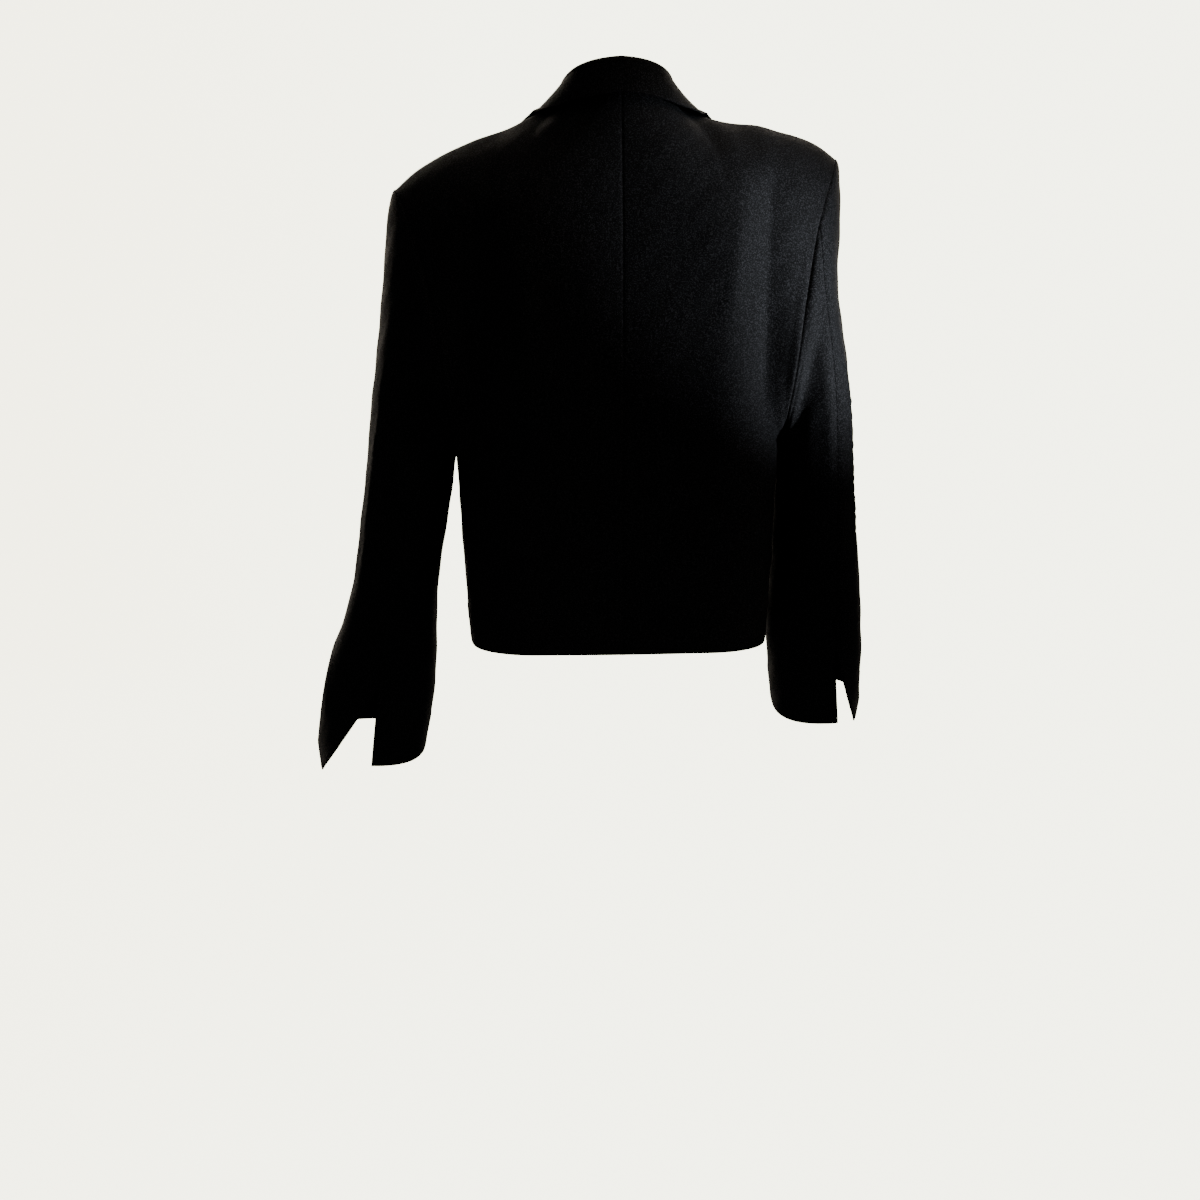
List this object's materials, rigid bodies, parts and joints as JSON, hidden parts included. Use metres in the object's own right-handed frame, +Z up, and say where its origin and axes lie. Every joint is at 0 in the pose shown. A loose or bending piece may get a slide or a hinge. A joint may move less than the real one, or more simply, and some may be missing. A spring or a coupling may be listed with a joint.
{
  "type": "jacket",
  "caption": "Short black tailored jacket, hollow as worn: padded shoulders, notched lapels, fold-over collar, front buttons and long two-piece sleeves with open cuff vents.",
  "frame": {"origin": "middle of the neck opening, level with the neck seam at the middle of the back", "axes": "+Z up, -Y towards the front of the jacket, +X towards the wearer's left"},
  "size_m": [0.5977, 0.2365, 0.7434],
  "materials": {
    "black crepe": "matt, finely pebbled",
    "black horn": "satin"
  },
  "bodies": {
    "root": {"back_left": "black crepe", "back_right": "black crepe", "front_left": "black crepe", "front_right": "black crepe", "sleeve_top_left": "black crepe", "sleeve_under_left": "black crepe", "sleeve_top_right": "black crepe", "sleeve_under_right": "black crepe", "lapel_left": "black crepe", "lapel_right": "black crepe", "collar": "black crepe", "button_1": "black horn", "button_2": "black horn", "button_3": "black horn"}
  },
  "joints": []
}
